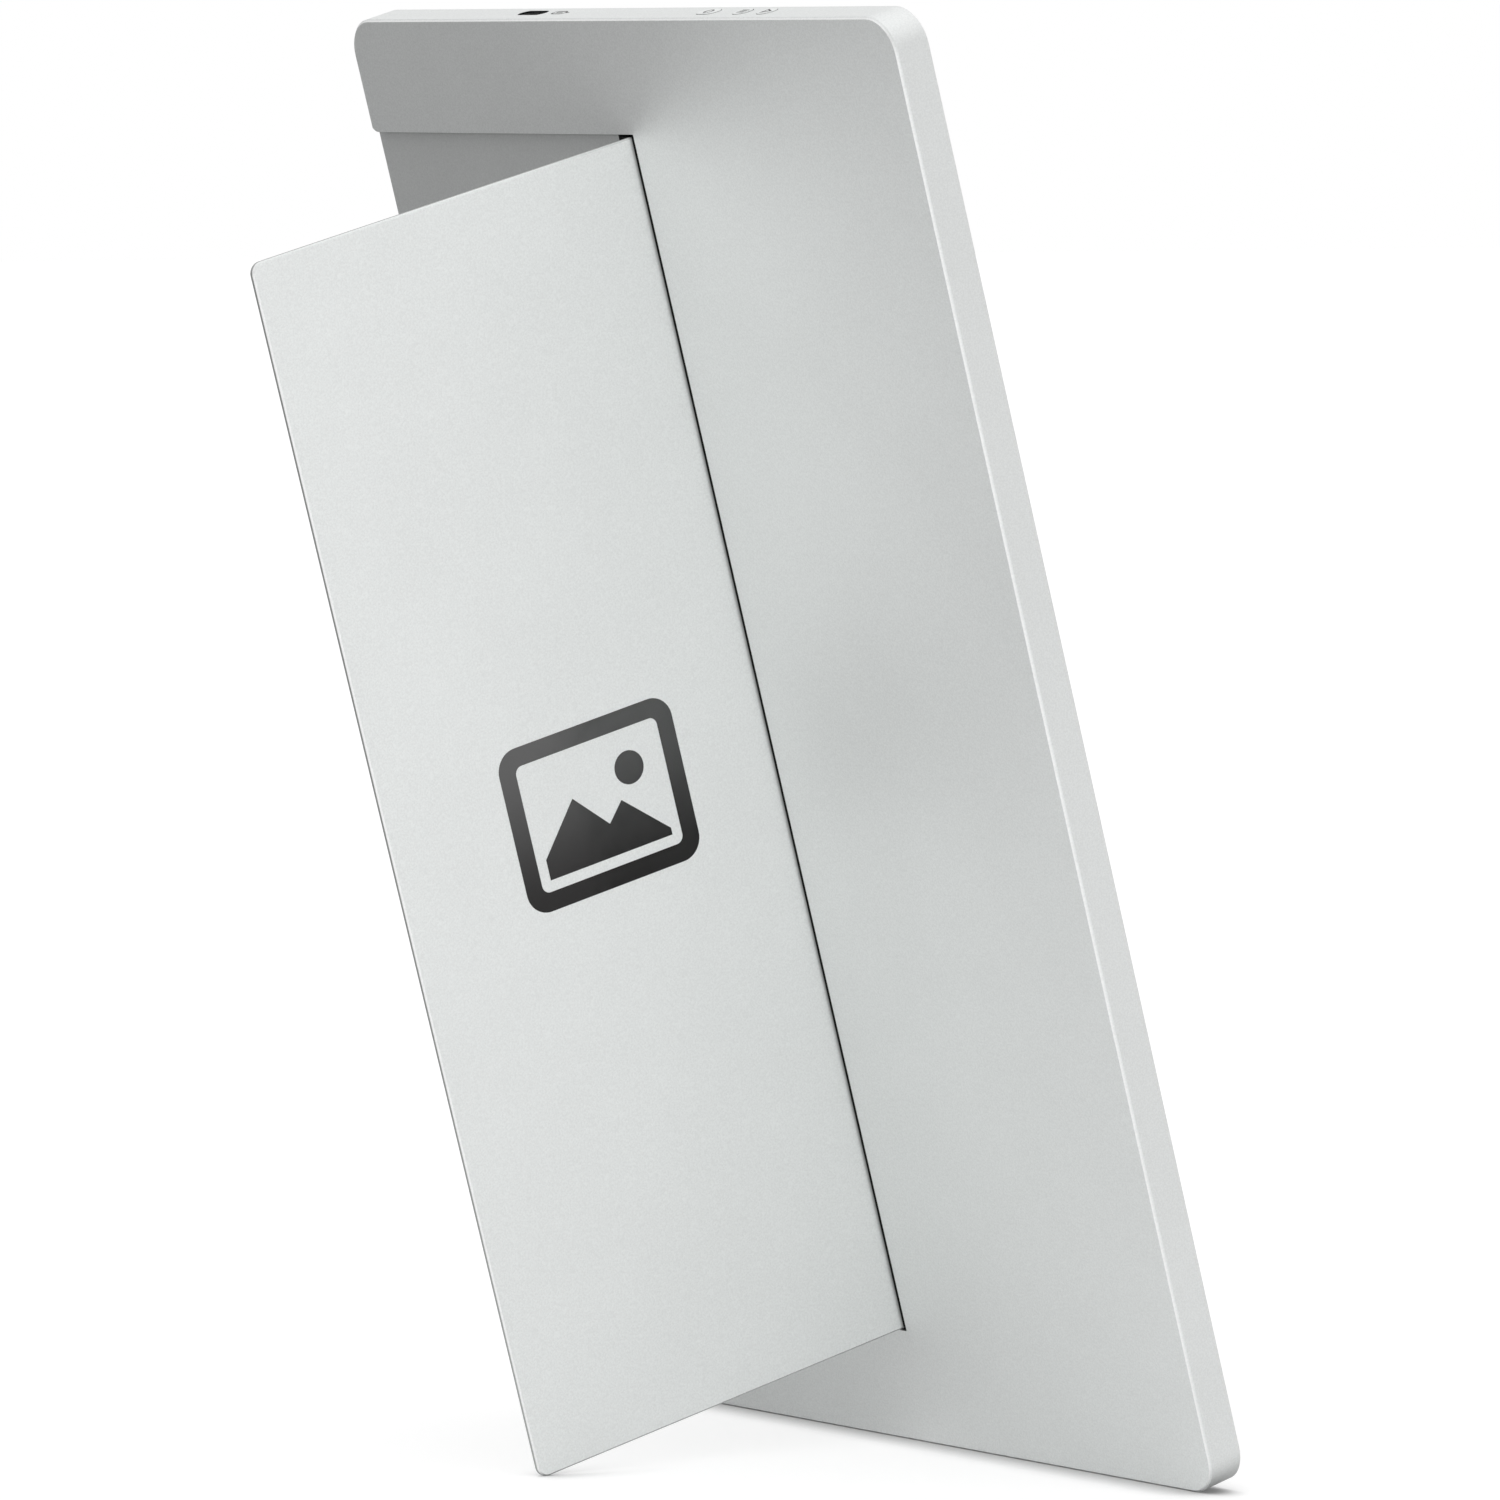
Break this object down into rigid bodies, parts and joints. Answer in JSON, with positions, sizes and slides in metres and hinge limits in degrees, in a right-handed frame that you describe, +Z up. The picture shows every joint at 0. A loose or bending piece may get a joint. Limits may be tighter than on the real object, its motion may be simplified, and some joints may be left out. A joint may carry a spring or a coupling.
{
  "type": "digital photo frame",
  "caption": "Slim aluminium digital photo frame leaning on a door-type stand that is hinged down the middle of its back.",
  "frame": {"origin": "middle of the bounding box's underside, on the surface the frame stands on, with the stand open", "axes": "+Z up; -Y is the way the screen faces; +X is to the right for a viewer in front of the screen"},
  "size_m": [0.1942, 0.1795, 0.3089],
  "materials": {
    "silver_aluminium": "bead-blasted, clear anodised",
    "stand_aluminium": "bead-blasted, clear anodised",
    "button_aluminium": "bead-blasted, clear anodised",
    "dark_mirror": "polished dark inlay",
    "dark_glass": "glossy, screen off",
    "black_foam": "matte foam adhesive",
    "black_plastic": "moulded, fine grain",
    "screw_steel": "zinc plated",
    "hinge_steel": "nickel plated",
    "plated_steel": "tin plated sheet",
    "spring_bronze": "phosphor bronze strip",
    "display_cell": "polariser film on glass",
    "clear_film": "clear sheet",
    "white_film": "white sheet",
    "led_strip": "flexible circuit with white LEDs",
    "circuit_board": "solder mask over copper",
    "polyimide": "amber film",
    "ribbon": "flat ribbon",
    "chip_plastic": "moulded epoxy",
    "connector_plastic": "heat-resistant nylon",
    "soft_pad": "soft thermal pad"
  },
  "bodies": {
    "frame": {"rear_shell": "silver_aluminium", "cover_glass": "dark_glass", "glass_tape": "black_foam", "mid_frame": "black_plastic", "frame_screws": "screw_steel", "lcd_cell": "display_cell", "prism_sheet": "clear_film", "diffuser_sheet": "white_film", "light_guide": "clear_film", "reflector_sheet": "white_film", "led_bar": "led_strip", "lcd_chassis": "plated_steel", "lcd_driver_board": "circuit_board", "driver_flexes": "polyimide", "display_cable": "ribbon", "insulation_film": "polyimide", "main_board": "circuit_board", "board_chips": "chip_plastic", "board_connectors": "connector_plastic", "shield_can": "plated_steel", "thermal_pad": "soft_pad", "board_screws": "screw_steel", "usb_c_shell": "plated_steel", "usb_c_tongue": "chip_plastic", "button_board": "circuit_board", "tact_switches": "chip_plastic", "button_cable": "ribbon", "hinge_base_upper": "hinge_steel", "hinge_base_lower": "hinge_steel", "friction_band_upper": "spring_bronze", "friction_band_lower": "spring_bronze", "hinge_screws": "screw_steel"},
    "stand": {"stand_flap": "stand_aluminium", "hinge_rocker_upper": "hinge_steel", "hinge_rocker_lower": "hinge_steel", "hinge_rivets": "screw_steel", "emblem_inlay": "dark_mirror"},
    "power_key": {"power_button": "button_aluminium", "power_plunger": "connector_plastic"},
    "menu_key": {"menu_button": "button_aluminium", "menu_plunger": "connector_plastic"},
    "select_key": {"select_button": "button_aluminium", "select_plunger": "connector_plastic"}
  },
  "joints": [
    {"name": "stand_hinge", "type": "hinge", "parent": "frame", "child": "stand", "pos_m": [0.00142, -0.03815, 0.15336], "axis": [0, 0.2748, 0.9615], "range_deg": [-86.1, 3.9]},
    {"name": "power_press", "type": "slide", "parent": "frame", "child": "power_key", "axis": [0, -0.2748, -0.9615], "range_m": [0, 0.0003], "stiffness_N_per_m": 900, "springref_m": -0.0011},
    {"name": "menu_press", "type": "slide", "parent": "frame", "child": "menu_key", "axis": [0, -0.2748, -0.9615], "range_m": [0, 0.0003], "stiffness_N_per_m": 900, "springref_m": -0.0011},
    {"name": "select_press", "type": "slide", "parent": "frame", "child": "select_key", "axis": [0, -0.2748, -0.9615], "range_m": [0, 0.0003], "stiffness_N_per_m": 900, "springref_m": -0.0011}
  ]
}
